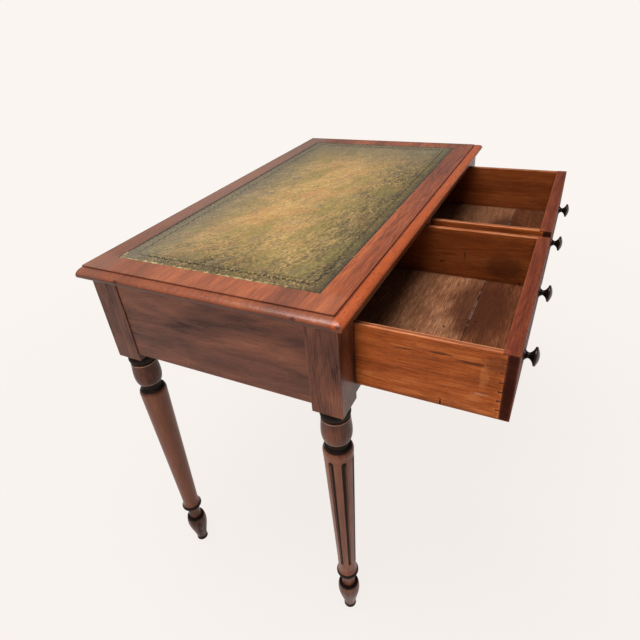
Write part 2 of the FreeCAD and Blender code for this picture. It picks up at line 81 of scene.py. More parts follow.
# Wood tones from dark to light
top_tones = ((0.065, 0.013, 0.005), (0.215, 0.046, 0.014), (0.43, 0.112, 0.034))
frame_tones = ((0.036, 0.009, 0.004), (0.125, 0.036, 0.017), (0.25, 0.085, 0.042))
front_tones = ((0.040, 0.008, 0.004), (0.12, 0.024, 0.010), (0.22, 0.054, 0.024))
side_tones = ((0.15, 0.032, 0.007), (0.34, 0.080, 0.018), (0.52, 0.160, 0.044))
oak_tones = ((0.100, 0.038, 0.017), (0.220, 0.090, 0.042), (0.38, 0.190, 0.105))
red_oak_tones = ((0.045, 0.013, 0.005), (0.108, 0.034, 0.013), (0.23, 0.088, 0.040))
bare_tones = ((0.12, 0.065, 0.035), (0.25, 0.145, 0.082), (0.38, 0.24, 0.145))
tone_places = (0.2, 0.5, 0.82)

# Features of wood: length along the grain and width
wave_size = (0.50, 0.075)
streak_size = (0.075, 0.0030)
fibre_size = (0.030, 0.0017)
dark_line_size = (0.16, 0.0042)
fleck_size = (0.020, 0.0013)
pore_size = (0.010, 0.0007)

# Noise levels between which a feature of wood sets in
dark_line_levels = (0.53, 0.72)
fleck_levels = (0.54, 0.66)
pore_levels = (0.60, 0.72)
crown_levels = (0.3, 0.65)
rub_levels = (0.35, 0.65)

# Makeup of a wood's tone: the figure's rings and share, the streaks' least share and their gain with the dark
# lines, and the sum that brings the average to the middle tone
figure_rings = 11.0
ring_height = 0.5
figure_share = 0.24
least_streaks = 0.25
line_streaks = 0.34
tone_sum = 0.44

# Shades of a wood's darkest or lightest tone in its features
dark_line_shade = 0.8
fleck_shade = 1.25
pore_shade = 0.35
pore_share = 0.55
end_grain_shade = 0.5
worn_and_highlit_shade = 1.35
grime_and_shade_factor = 0.22

# Wear of wood and painted light: the rubbed edges' width, levels of the edge mask (pale wear and painted
# highlight) and of the corner mask (grime and painted shade), and slants of end grain and of faces that look
# up
rubbed_width = 0.004
rubbed_onset = (0.12, 0.5)
grime_and_shade_onset = (0.12, 0.75)
end_grain_slant = (0.75, 0.95)
upward_slant = (0.35, 0.9)

# Polish and relief of wood
polish_cloud = (0.06, 0.06, 0.06)
pore_roughness = 0.2
dull_roughness = 0.45
dull_levels = (0.006, 0.030)
coat_roughness = 0.16
streak_relief = 0.5
pore_relief = -0.8
wood_relief = 0.0002
eased_radius = 0.0006

# Paler colour where the drawers' top edges face up: wear, and painted highlight
crown_colour = (0.60, 0.270, 0.140)

# The rear legs' tones, darker by this factor
rear_leg_shade = 0.68


class Paint:
    """One material, built up node by node."""

    def __init__(self, name):
        self.material = bpy.data.materials.new(name)
        self.material.use_nodes = True
        self.tree = self.material.node_tree
        self.tree.nodes.clear()
        self.shader = self.node("ShaderNodeBsdfPrincipled")
        self.output = self.node("ShaderNodeOutputMaterial")
        self.put(self.output.inputs["Surface"], self.shader.outputs["BSDF"])
        coordinates = self.node("ShaderNodeTexCoord")
        self.place = coordinates.outputs["Object"]
        self.normal = coordinates.outputs["Normal"]
        split = self.node("ShaderNodeSeparateXYZ")
        self.put(split.inputs[0], self.place)
        self.x, self.y, self.z = split.outputs
        self.colour = None

    def node(self, kind, **settings):
        made = self.tree.nodes.new(kind)
        for key, value in settings.items():
            setattr(made, key, value)
        return made

    def put(self, socket, value):
        """Links another node's output to a socket, or sets its value."""
        if isinstance(value, bpy.types.NodeSocket):
            self.tree.links.new(value, socket)
        else:
            socket.default_value = value

    def math(self, operation, first, second=0.0):
        made = self.node("ShaderNodeMath", operation=operation)
        self.put(made.inputs[0], first)
        self.put(made.inputs[1], second)
        return made.outputs[0]

    def chain(self, operation, values):
        result = values[0]
        for value in values[1:]:
            result = self.math(operation, result, value)
        return result

    def times(self, *values):
        return self.chain("MULTIPLY", values)

    def plus(self, *values):
        return self.chain("ADD", values)

    def least(self, *values):
        return self.chain("MINIMUM", values)

    def most(self, *values):
        return self.chain("MAXIMUM", values)

    def inverse(self, value):
        return self.math("SUBTRACT", 1.0, value)

    def raised(self, mask, base, gain):
        """A base value, with a gain where a mask is 1."""
        return self.plus(self.times(mask, gain), base)

    def axis(self, vector, name):
        made = self.node("ShaderNodeSeparateXYZ")
        self.put(made.inputs[0], vector)
        return made.outputs[name]

    def length(self, vector):
        made = self.node("ShaderNodeVectorMath", operation="LENGTH")
        self.put(made.inputs[0], vector)
        return made.outputs["Value"]

    def step(self, value, low, high):
        """A smooth rise from 0 to 1 as a value goes from low to high."""
        made = self.node("ShaderNodeMapRange", interpolation_type="SMOOTHSTEP")
        self.put(made.inputs["Value"], value)
        made.inputs["From Min"].default_value = low
        made.inputs["From Max"].default_value = high
        return made.outputs["Result"]

    def past(self, value, start, span):
        """A smooth rise from 0 to 1 over a span of distances from a start."""
        first, last = span
        return self.step(value, start + first, start + last)

    def between(self, value, low, high, soft):
        """1 where a value lies between two others, with soft ends."""
        return self.least(
            self.step(value, low - soft, low + soft),
            self.inverse(self.step(value, high - soft, high + soft)),
        )

    def mix(self, share, first, second):
        """A colour between two, by a share from 0 to 1."""
        made = self.node("ShaderNodeMix", data_type="RGBA")
        self.put(made.inputs[0], share)
        for number, colour in zip(mix_colours, (first, second)):
            linked = isinstance(colour, bpy.types.NodeSocket)
            self.put(made.inputs[number], colour if linked else (*colour, 1))
        return made.outputs[mix_result]

    def tint(self, mask, tint):
        """Lays a tint, which is a strength and a colour, over the paint where a mask is 1."""
        strength, colour = tint
        self.colour = self.mix(self.times(mask, strength), self.colour, colour)

    def ramp(self, value, colours, places):
        made = self.node("ShaderNodeValToRGB")
        elements = made.color_ramp.elements
        while len(elements) < len(places):
            elements.new(0.5)
        for element, place, colour in zip(elements, places, colours):
            element.position = place
            element.color = (*colour, 1)
        self.put(made.inputs[0], value)
        return made.outputs[0]

    def noise(self, size, shift=(0, 0, 0), detail=3.0, roughness=0.55, bend=0.0, turn=0.0):
        """Noise with features of a size along each axis, turned about the upright by an angle."""
        rotated = self.node("ShaderNodeVectorRotate", rotation_type="Z_AXIS")
        self.put(rotated.inputs["Vector"], self.place)
        rotated.inputs["Angle"].default_value = turn
        mapping = self.node("ShaderNodeMapping")
        self.put(mapping.inputs["Vector"], rotated.outputs["Vector"])
        mapping.inputs["Location"].default_value = shift
        mapping.inputs["Scale"].default_value = [1 / length for length in size]
        made = self.node("ShaderNodeTexNoise")
        self.put(made.inputs["Vector"], mapping.outputs["Vector"])
        made.inputs["Scale"].default_value = 1.0
        made.inputs["Detail"].default_value = detail
        made.inputs["Roughness"].default_value = roughness
        made.inputs["Distortion"].default_value = bend
        return made.outputs[0]

    def patches(self, levels, **form):
        """Patches of noise that set in between two levels."""
        return self.step(self.noise(**form), *levels)

    def spot(self, centre, size, ragged):
        """A soft patch, 1 at its centre and 0 past its size along each axis, with a ragged rim."""
        offset = self.node("ShaderNodeVectorMath", operation="SUBTRACT")
        self.put(offset.inputs[0], self.place)
        offset.inputs[1].default_value = centre
        share = self.node("ShaderNodeVectorMath", operation="DIVIDE")
        self.put(share.inputs[0], offset.outputs[0])
        share.inputs[1].default_value = size
        grain = [max(length / rim_fineness, least_rim) for length in size]
        rim = self.math("SUBTRACT", self.noise(grain, detail=2.0), noise_middle)
        edge = self.plus(self.length(share.outputs[0]), self.times(rim, ragged))
        return self.inverse(self.step(edge, *rim_span))

    def spots(self, places):
        """Soft patches, each by its centre, its size and its raggedness."""
        return self.most(*[self.spot(*place) for place in places])

    def edges(self, width):
        """A mask of the corners that stand out."""
        made = self.node("ShaderNodeAmbientOcclusion", inside=True, only_local=True, samples=corner_samples)
        made.inputs["Distance"].default_value = width
        return self.inverse(made.outputs["AO"])

    def crevices(self, width):
        """A mask of inner corners, grooves and narrow joints."""
        made = self.node("ShaderNodeAmbientOcclusion", samples=corner_samples)
        made.inputs["Distance"].default_value = width
        return self.inverse(made.outputs["AO"])

    def bump(self, height, depth, round_edge=0.0):
        """Surface relief of a depth in metres, over arrises that are eased by a radius."""
        made = self.node("ShaderNodeBump")
        made.inputs["Distance"].default_value = depth
        self.put(made.inputs["Height"], height)
        if round_edge:
            eased = self.node("ShaderNodeBevel", samples=arris_samples)
            eased.inputs["Radius"].default_value = round_edge
            self.put(made.inputs["Normal"], eased.outputs[0])
        self.put(self.shader.inputs["Normal"], made.outputs[0])

    def finish(self, roughness, **sockets):
        self.put(self.shader.inputs["Base Color"], self.colour)
        self.put(self.shader.inputs["Roughness"], roughness)
        for name, value in sockets.items():
            self.put(self.shader.inputs[name.replace("_", " ")], value)
        return self.material


def along(grain, length, width):
    """A feature's size with its length along the grain."""
    return [length if axis == grain else width for axis in "XYZ"]


def shade(colour, factor):
    return [min(1, channel * factor) for channel in colour]


def wood_grain(paint, grain, tones, shift, blotch, bands, lines, fine, flecks):
    """Lays figured and streaky wood, and gives its broad patches, streaks and pores."""
    broad = paint.noise(along(grain, *blotch), shift, bend=0.25)
    waves = paint.noise(along(grain, *wave_size), shift, detail=1.5, bend=0.5)
    figure = paint.math("PINGPONG", paint.times(waves, figure_rings), ring_height)
    streaks = paint.noise(along(grain, *streak_size), shift, detail=4.0, roughness=0.65)
    fibres = paint.noise(along(grain, *fibre_size), shift, detail=2.0)
    streakiness = least_streaks + line_streaks * lines
    tone = paint.plus(
        paint.times(broad, bands),
        paint.times(figure, figure_share),
        paint.times(streaks, streakiness),
        paint.times(fibres, fine),
        tone_sum - (bands + streakiness + fine) * noise_middle,
    )
    paint.colour = paint.ramp(tone, tones, tone_places)
    dark = paint.noise(along(grain, *dark_line_size), shift, bend=0.3)
    paint.tint(paint.step(dark, *dark_line_levels), (lines, shade(tones[0], dark_line_shade)))
    if flecks:
        pale = paint.noise(along(grain, *fleck_size), shift, bend=0.3)
        paint.tint(paint.step(pale, *fleck_levels), (flecks, shade(tones[2], fleck_shade)))
    pores = paint.step(paint.noise(along(grain, *pore_size), shift, detail=1.0), *pore_levels)
    paint.tint(pores, (pore_share, shade(tones[0], pore_shade)))
    return broad, streaks, pores


def wood_polish(paint, pores, shift, rough):
    """The roughness of cloudy old polish, open at the pores and dull where it is nearly black."""
    level = paint.node("ShaderNodeRGBToBW")
    paint.put(level.inputs[0], paint.colour)
    dull = paint.inverse(paint.step(level.outputs[0], *dull_levels))
    cloud = paint.noise(polish_cloud, shift, detail=4.0)
    low, high = rough
    return paint.plus(
        paint.times(cloud, high - low),
        paint.times(pores, pore_roughness),
        paint.times(dull, dull_roughness),
        low,
    )


def wood(name, grain, tones, shift, rough=(0.24, 0.42), coat=0.08, wear=0.5, grime_and_shade=0.7, grime_and_shade_reach=0.014,
         end_grain=0.6, crown=0.0, blotch=(0.70, 0.050), bands=0.85, lines=0.5, fine=0.30, flecks=0.0,
         sheen=0.30, marks=None):
    """Wood with its grain along one axis, pale along its edges with wear and painted highlight, and dark in
    its corners with grime and painted shade.
    """
    paint = Paint(name)
    broad, streaks, pores = wood_grain(paint, grain, tones, shift, blotch, bands, lines, fine, flecks)
    if end_grain:
        across = paint.math("ABSOLUTE", paint.axis(paint.normal, grain))
        paint.tint(paint.step(across, *end_grain_slant), (end_grain, shade(tones[0], end_grain_shade)))
    # Faces that look up are painted paler, for wear and as a painted highlight
    if crown:
        upward = paint.step(paint.axis(paint.normal, "Z"), *upward_slant)
        patchy = paint.step(streaks, *crown_levels)
        paint.tint(paint.times(upward, patchy), (crown, crown_colour))
    # Pale rubbed edges: wear, and painted highlights on arrises and rims
    edges = paint.step(paint.edges(rubbed_width), *rubbed_onset)
    rubbed = paint.times(edges, paint.step(broad, *rub_levels))
    paint.tint(rubbed, (wear, shade(tones[2], worn_and_highlit_shade)))
    if marks:
        marks(paint)
    # Dark corners, recesses and bands under overhangs: grime, and painted shade
    paint.tint(paint.step(paint.crevices(grime_and_shade_reach), *grime_and_shade_onset), (grime_and_shade, shade(tones[0], grime_and_shade_factor)))
    relief = paint.plus(paint.times(streaks, streak_relief), paint.times(pores, pore_relief))
    paint.bump(relief, wood_relief, eased_radius)
    gloss = {"Coat_Weight": coat, "Coat_Roughness": coat_roughness, "Specular_IOR_Level": sheen}
    return paint.finish(wood_polish(paint, pores, shift, rough), **gloss)


# Rear of the top: the strip greyed as a painted reflection and the dark arris, from the rear edge, the
# reflection's run from the left end and its share, a base and a gain, the joint beside the leather, and the
# painted shade that darkens the top towards the rear
rear_sheen_strip = (-0.075, -0.040)
rear_arris = (-0.0040, -0.0020)
rear_sheen_run = (0.03, 0.40)
rear_sheen_share = (0.18, 0.27)
joint_width = 0.0028
joint_soft = 0.0006
joint_end_soft = 0.001
# Painted shade: the top darkened towards the rear
rear_shade_tint = (0.45, (0.105, 0.036, 0.019))
rear_sheen_colour = (0.200, 0.144, 0.116)
dark_joint_tint = (0.70, (0.040, 0.022, 0.016))


def rear_marks(paint):
    """A rear darkened by painted shade and a strip greyed by a painted reflection, with a dark arris and a
    dark joint along the leather.
    """
    # Painted shade towards the rear, and a painted reflection greying the rear strip
    paint.tint(paint.step(paint.y, 0.0, top_high.y), rear_shade_tint)
    sheen_strip = paint.past(paint.y, top_high.y, rear_sheen_strip)
    sheen_strength = paint.raised(paint.past(paint.x, top_low.x, rear_sheen_run), *rear_sheen_share)
    paint.tint(sheen_strip, (sheen_strength, rear_sheen_colour))
    beside = paint.between(paint.x, leather_low.x, leather_high.x, joint_end_soft)
    joint = paint.between(paint.y, leather_high.y, leather_high.y + joint_width, joint_soft)
    arris = paint.past(paint.y, top_high.y, rear_arris)
    paint.tint(paint.most(paint.times(joint, beside), arris), dark_joint_tint)


# Moulded edges of the top: width and soft limit, the left end's strip lightened as a painted reflection, the
# pits and the ends' share of them, and the spans of the front's groove and of the painted shade below its
# nose
moulding_width = 0.020
moulding_limit = (-0.001, 0.001)
left_sheen_strip = (0.055, 0.080)
moulding_pits = {"levels": (0.50, 0.66), "size": (0.006, 0.0035, 0.0035), "shift": (8, 2, 5)}
end_pits = 0.5
groove_span = (0.0155, 0.0200)
groove_soft = 0.0015
nose_shade = (0.002, 0.010)
left_sheen_tint = (0.14, (0.42, 0.190, 0.120))
end_moulding_tint = (0.40, (0.150, 0.034, 0.012))
front_moulding_tint = (0.65, (0.43, 0.076, 0.010))
pit_tint = (0.42, (0.075, 0.014, 0.005))
groove_tint = (0.55, (0.070, 0.014, 0.005))
nose_tint = (0.75, (0.028, 0.008, 0.004))


def moulding_marks(paint):
    """A left end lightened as a painted reflection, brown end mouldings and an orange, pitted front one, dark
    in its groove and with painted shade below.
    """
    # Painted reflection: the left end's strip lightened
    paint.tint(paint.inverse(paint.past(paint.x, top_low.x, left_sheen_strip)), left_sheen_tint)
    end = paint.past(paint.math("ABSOLUTE", paint.x), top_high.x - moulding_width, moulding_limit)
    paint.tint(end, end_moulding_tint)
    front = paint.inverse(paint.past(paint.y, top_low.y + moulding_width, moulding_limit))
    paint.tint(front, front_moulding_tint)
    exposed = paint.most(front, paint.times(end, end_pits))
    paint.tint(paint.times(exposed, paint.patches(**moulding_pits)), pit_tint)
    groove = paint.between(paint.y, *[top_low.y + inset for inset in groove_span], groove_soft)
    paint.tint(groove, groove_tint)
    # Painted shade below the front moulding's nose
    paint.tint(paint.inverse(paint.past(paint.z, top_low.z, nose_shade)), nose_tint)


# Two nicks in the left end's moulding and the knocked near corner: centre, size and raggedness
top_nicks = (
    ((-0.4562, 0.2726, 0.7601), (0.006, 0.0075, 0.0032), 0.8),
    ((-0.4562, -0.0556, 0.7604), (0.006, 0.0060, 0.0034), 0.8),
    ((-0.4555, -0.1230, 0.7605), (0.0060, 0.0060, 0.0036), 1.4),
)
top_nick_tint = (0.85, (0.030, 0.009, 0.004))


def top_marks(paint):
    rear_marks(paint)
    moulding_marks(paint)
    paint.tint(paint.spots(top_nicks), top_nick_tint)


# Drawer sides: distances of their middles from the table's middle, the slant of their inner faces and the
# half width of the dark line along their top edges
side_middles = (0.0185, 0.3850)
inner_slant = (0.4, 0.6)
edge_line_reach = (0.0012, 0.0026)
inner_face_shade_tint = (0.38, (0.020, 0.004, 0.0005))
edge_line_tint = (0.6, (0.070, 0.018, 0.006))


def side_marks(paint):
    """The drawer sides' unpolished inner faces, darkened as painted shade, and a dark line along each top
    edge.
    """
    across = paint.math("ABSOLUTE", paint.x)
    drawer_middle = sum(side_middles) / 2
    toward_middle = paint.math("SIGN", paint.math("SUBTRACT", drawer_middle, across))
    hand = paint.times(paint.math("SIGN", paint.x), toward_middle)
    # Painted shade: the inner faces of the drawer sides darkened
    inside = paint.step(paint.times(paint.axis(paint.normal, "X"), hand), *inner_slant)
    paint.tint(inside, inner_face_shade_tint)
    lines = []
    for middle in side_middles:
        off = paint.math("ABSOLUTE", paint.math("SUBTRACT", across, middle))
        lines.append(paint.inverse(paint.step(off, *edge_line_reach)))
    upward = paint.step(paint.axis(paint.normal, "Z"), *upward_slant)
    paint.tint(paint.times(paint.most(*lines), upward), edge_line_tint)


# Left drawer's outer side: its face, its soil and its marks, by tint, with centre, size and raggedness
outer_face = -0.390
outer_soil = {"levels": (0.48, 0.74), "size": (0.02, 0.040, 0.018), "shift": (3, 6, 2), "detail": 4.0,
              "roughness": 0.65}
outer_soil_tint = (0.40, (0.110, 0.030, 0.010))
outer_marks = (
    # Brown soiling by the dovetails and along the bottom edge
    ((0.60, (0.105, 0.026, 0.010)), (
        ((outer_face, -0.3180, 0.7060), (0.01, 0.0260, 0.0180), 0.9),
        ((outer_face, -0.2400, 0.6130), (0.01, 0.1600, 0.0080), 0.6),
    )),
    # Dark streaks under the top edge
    ((0.75, (0.045, 0.016, 0.008)), (
        ((outer_face, -0.1900, 0.7000), (0.01, 0.0160, 0.0022), 1.2),
        ((outer_face, -0.2410, 0.7050), (0.01, 0.0230, 0.0030), 1.2),
        ((outer_face, -0.2850, 0.6995), (0.01, 0.0280, 0.0034), 1.2),
    )),
    # Pale rubs
    ((0.28, (0.60, 0.22, 0.070)), (
        ((outer_face, -0.3020, 0.6800), (0.01, 0.0085, 0.0260), 1.8),
        ((outer_face, -0.2925, 0.6415), (0.01, 0.0130, 0.0080), 1.8),
    )),
    # Pale scratch
    ((0.40, (0.52, 0.32, 0.20)), (
        ((outer_face, -0.3000, 0.6505), (0.01, 0.0140, 0.0022), 1.2),
    )),
    # Short split at the bottom edge
    ((1.0, (0.012, 0.005, 0.003)), (
        ((outer_face, -0.2468, 0.6180), (0.01, 0.0016, 0.0100), 0.6),
    )),
)


def outer_side_marks(paint):
    side_marks(paint)
    paint.tint(paint.patches(**outer_soil), outer_soil_tint)
    for tint, places in outer_marks:
        paint.tint(paint.spots(places), tint)


# Left drawer's inner side: its face, a smudge, and two nicks and a dark spot
inner_face = -0.0235
inner_smudge = (((inner_face, -0.2730, 0.6592), (0.012, 0.0480, 0.0320), 0.5),)
inner_smudge_tint = (0.60, (0.060, 0.016, 0.005))
inner_nicks = (
    ((inner_face, -0.3040, 0.6285), (0.004, 0.0036, 0.0040), 0.6),
    ((inner_face, -0.1964, 0.6740), (0.004, 0.0016, 0.0120), 0.8),
    ((inner_face, -0.1525, 0.6554), (0.004, 0.0060, 0.0030), 0.8),
)
inner_nick_tint = (0.80, (0.030, 0.009, 0.004))


def inner_side_marks(paint):
    side_marks(paint)
    paint.tint(paint.spots(inner_smudge), inner_smudge_tint)
    paint.tint(paint.spots(inner_nicks), inner_nick_tint)


# Drawer bottoms: the joint between their two boards, stains, soaked places, painted shade, spots and
# splinters
board_joint = -0.2415
bottom_stains = {"levels": (0.54, 0.72), "size": (0.09, 0.07, 0.1), "shift": (4, 1, 2)}
bottom_stain_tint = (0.45, (0.040, 0.016, 0.010))
soaked_places = (
    ((-0.125, board_joint - 0.012, 0.626), (0.15, 0.075, 0.05), 0.5),
    ((0.230, board_joint + 0.010, 0.626), (0.12, 0.060, 0.05), 0.5),
)
soaked_tint = (0.85, (0.052, 0.015, 0.007))
right_drawer_shade_start = (-0.01, 0.01)
right_drawer_shade_tint = (0.35, (0.050, 0.018, 0.009))
ink_spots = {"levels": (0.72, 0.78), "size": (0.010, 0.010, 0.01), "shift": (2, 7, 1), "detail": 1.0}
ink_spot_tint = (0.8, (0.012, 0.006, 0.005))
torn_edge = {"levels": (0.50, 0.58), "size": (0.022, 0.02, 0.02), "shift": (5, 3, 1), "detail": 2.0}
splinter_reach = (0.0010, 0.0018)
splinter_tint = (0.55, (0.34, 0.25, 0.20))


def bottom_marks(paint):
    """Stains about the boards' joint, painted shade on the right drawer, ink spots and pale splinters at the
    joint.
    """
    paint.tint(paint.patches(**bottom_stains), bottom_stain_tint)
    paint.tint(paint.spots(soaked_places), soaked_tint)
    # Painted shade: the right drawer's bottom darkened
    paint.tint(paint.step(paint.x, *right_drawer_shade_start), right_drawer_shade_tint)
    paint.tint(paint.patches(**ink_spots), ink_spot_tint)
    from_joint = paint.math("ABSOLUTE", paint.math("SUBTRACT", paint.y, board_joint))
    beside = paint.inverse(paint.step(from_joint, *splinter_reach))
    paint.tint(paint.times(beside, paint.patches(**torn_edge)), splinter_tint)


# Legs: heights of the turnings black with polish and painted shade, the vase with painted shade and the
# painted highlights on its rims, the shaft with painted light, its flutes and their heads, how soft they end,
# and height and radius at the ends of the shaft's taper
dark_turnings = ((0.5640, 0.5850), (0.4945, 0.5140), (0.1235, 0.1345), (0.0825, 0.0875), (0.0, 0.0090))
dark_turning_soft = 0.0012
vase_zone = (0.5150, 0.5630, 0.004)
vase_rim_highlights = ((0.5606, 0.5622), (0.5142, 0.5156))
rim_highlight_soft = 0.0005
shaft_zone = (0.1320, 0.4900, 0.006)
flute_zone = (0.1550, 0.4800, 0.005)
flute_head_zone = (0.4640, 0.4800, 0.003)
shaft_top = (0.486, 0.0265)
shaft_bottom = (0.144, 0.0174)

# Depth of a black flute, as a share of the shaft's radius, and what the heads gain
flute_depth = (0.085, 0.150)
flute_head_gain = 0.05

# Painted shade on the vase, light on the shaft, highlights on its rims; polish and shade in necks and flutes
vase_shade_tint = (0.30, (0.040, 0.010, 0.005))
shaft_light_tint = (0.42, frame_tones[2])
rim_highlight_tint = (0.65, (0.38, 0.240, 0.170))
black_polish_and_shade_tint = (0.97, (0.006, 0.003, 0.002))


def flute_mask(paint, centre):
    """A mask of the flutes of a leg, round its centre in plan."""
    offset = paint.node("ShaderNodeCombineXYZ")
    for socket, place, middle in zip(offset.inputs, (paint.x, paint.y), centre):
        paint.put(socket, paint.math("SUBTRACT", place, middle))
    top_height, top_radius = shaft_top
    bottom_height, bottom_radius = shaft_bottom
    slope = (top_radius - bottom_radius) / (top_height - bottom_height)
    surface = paint.plus(paint.times(paint.z, slope), bottom_radius - slope * bottom_height)
    depth = paint.inverse(paint.math("DIVIDE", paint.length(offset.outputs[0]), surface))
    heads = paint.times(paint.between(paint.z, *flute_head_zone), flute_head_gain)
    deep = paint.step(paint.plus(depth, heads), *flute_depth)
    return paint.times(deep, paint.between(paint.z, *flute_zone))


def turned_marks(centre):
    """Black polish and painted shade in a leg's necks and flutes, painted shade on the vase, painted
    highlights on its rims and painted light on the shaft.
    """
    def marks(paint):
        # Painted shade on the vase
        paint.tint(paint.between(paint.z, *vase_zone), vase_shade_tint)
        # Painted light on the shaft
        paint.tint(paint.between(paint.z, *shaft_zone), shaft_light_tint)
        # Painted highlights on the vase's rims
        rims = paint.most(*[paint.between(paint.z, *span, rim_highlight_soft) for span in vase_rim_highlights])
        paint.tint(rims, rim_highlight_tint)
        # Black polish and painted shade in the necks and flutes
        necks = [paint.between(paint.z, *span, dark_turning_soft) for span in dark_turnings]
        paint.tint(paint.most(flute_mask(paint, centre), *necks), black_polish_and_shade_tint)
    return marks


# Wear of the leather: the runs over which it grows, from each edge
worn_from_front = (-0.070, 0.22)
worn_from_rear = (0.050, -0.15)
worn_from_left = (-0.15, 0.25)
worn_from_right = (0.16, -0.28)

# Leather: its tones and the shares of wear, clouds, wisps and pebbling in them
leather_tones = ((0.040, 0.028, 0.010), (0.145, 0.102, 0.036), (0.32, 0.210, 0.074), (0.56, 0.33, 0.125))
leather_tone_places = (0.0, 0.28, 0.55, 0.95)
wear_share = 0.60
cloud_share = 0.50
wisp_share = 1.10
pebble_share = 1.25
leather_base = -1.39
leather_clouds = {"size": (0.13, 0.09, 0.1), "shift": (3, 1, 0), "bend": 0.5}
leather_pebbles = {"size": (0.006, 0.0035, 0.01), "shift": (1, 5, 0), "turn": 0.5}

# Wisps, lengthwise at the front and slanting behind, and where they change, from the front edge
wisp_form = {"detail": 5.0, "roughness": 0.68, "bend": 0.9}
lengthwise_wisps = {"size": (0.030, 0.010, 0.05), "shift": (7, 2, 0), "turn": 0.15}
slanting_wisps = {"size": (0.032, 0.012, 0.05), "shift": (4, 9, 0), "turn": 0.75}
wisp_change = (0.06, 0.26)

# Patches, painted grey sheen, soiling and creases of the leather
olive_patches = {"levels": (0.46, 0.64), "size": (0.10, 0.045, 0.1), "shift": (9, 4, 0), "detail": 5.0,
                 "turn": 0.4}
olive_tint = (0.50, (0.150, 0.125, 0.030))
russet_patches = {"levels": (0.50, 0.66), "size": (0.09, 0.040, 0.1), "shift": (2, 6, 0), "detail": 5.0,
                  "turn": 0.6}
russet_tint = (0.50, (0.38, 0.180, 0.066))
ashen_patches = {"levels": (0.54, 0.76), "size": (0.05, 0.020, 0.1), "shift": (5, 8, 0), "turn": 0.5}
ashen_tint = (0.55, (0.145, 0.108, 0.082))
sheen_from_rear = (-0.17, 0.02)
sheen_from_right = (-0.28, 0.05)
grey_sheen_tint = (0.55, (0.175, 0.152, 0.115))
soiled_front = (0.004, 0.018)
soiled_tint = (0.55, (0.032, 0.026, 0.012))
leather_folds = {"size": (0.026, 0.012, 0.1), "shift": (8, 3, 0), "detail": 2.0, "bend": 1.2, "turn": 0.5}
crease_reach = (0.0, 0.022)
crease_tint = (0.35, (0.060, 0.042, 0.016))

# Grain and gloss of the leather: a roughness is a base and a gain, here and below
grain_scale = 800.0
grain_relief = 0.3
leather_relief = 0.0005
leather_roughness = (0.34, 0.20)
leather_sheen = 0.42


def leather_wear(paint):
    """Wear that is strongest in the middle of the leather."""
    return paint.least(
        paint.past(paint.y, leather_low.y, worn_from_front),
        paint.past(paint.y, leather_high.y, worn_from_rear),
        paint.past(paint.x, leather_low.x, worn_from_left),
        paint.past(paint.x, leather_high.x, worn_from_right),
    )


def leather_wisps(paint):
    rearward = paint.past(paint.y, leather_low.y, wisp_change)
    return paint.plus(
        paint.times(paint.noise(**lengthwise_wisps, **wisp_form), paint.inverse(rearward)),
        paint.times(paint.noise(**slanting_wisps, **wisp_form), rearward),
    )


def leather_mottle(paint, wisps):
    """Olive leather worn to tan, with olive, russet and ashen patches."""
    wear = leather_wear(paint)
    value = paint.plus(
        paint.times(wear, wear_share),
        paint.times(paint.noise(**leather_clouds), cloud_share),
        paint.times(wisps, wisp_share),
        paint.times(paint.noise(**leather_pebbles), pebble_share),
        leather_base,
    )
    paint.colour = paint.ramp(value, leather_tones, leather_tone_places)
    paint.tint(paint.patches(**olive_patches), olive_tint)
    paint.tint(paint.times(paint.patches(**russet_patches), wear), russet_tint)
    paint.tint(paint.patches(**ashen_patches), ashen_tint)


def leather_marks(paint):
    """A painted grey sheen at the rear and the right, soiling along the front edge and wandering creases."""
    # Painted reflection: a grey sheen at the rear and the right
    rear = paint.past(paint.y, leather_high.y, sheen_from_rear)
    right = paint.past(paint.x, leather_high.x, sheen_from_right)
    paint.tint(paint.most(rear, right), grey_sheen_tint)
    paint.tint(paint.inverse(paint.past(paint.y, leather_low.y, soiled_front)), soiled_tint)
    folds = paint.math("SUBTRACT", paint.noise(**leather_folds), noise_middle)
    crease = paint.inverse(paint.step(paint.math("ABSOLUTE", folds), *crease_reach))
    paint.tint(crease, crease_tint)


def leather_paint():
    """Close-grained, worn leather."""
    paint = Paint("leather")
    wisps = leather_wisps(paint)
    leather_mottle(paint, wisps)
    leather_marks(paint)
    cells = paint.node("ShaderNodeTexVoronoi")
    cells.inputs["Scale"].default_value = grain_scale
    paint.put(cells.inputs["Vector"], paint.place)
    paint.bump(paint.plus(paint.times(cells.outputs["Distance"], grain_relief), wisps), leather_relief)
    return paint.finish(paint.raised(wisps, *leather_roughness), Specular_IOR_Level=leather_sheen)


# Tooling: the colour of old polish in it, and the depth of its relief
tooling_black = (0.020, 0.015, 0.008)
tooling_relief = 0.0002

# Gilding: where it is kept, from the left and the front edge, its patches and its colours
gilt_left = (0.008, 0.06)
gilt_front = (0.02, 0.13)
gilt_patches = {"size": (0.020, 0.020, 0.02), "shift": (2, 2, 0), "detail": 4.0, "roughness": 0.7}
gilt_gain = 0.15
gilt_loss = -0.05
gilt_levels = (0.53, 0.70)
gold_colour = (0.66, 0.53, 0.25)
bare_gilt_colour = (0.120, 0.092, 0.038)
gold_metal = 0.35
gilt_roughness = (0.25, 0.3)


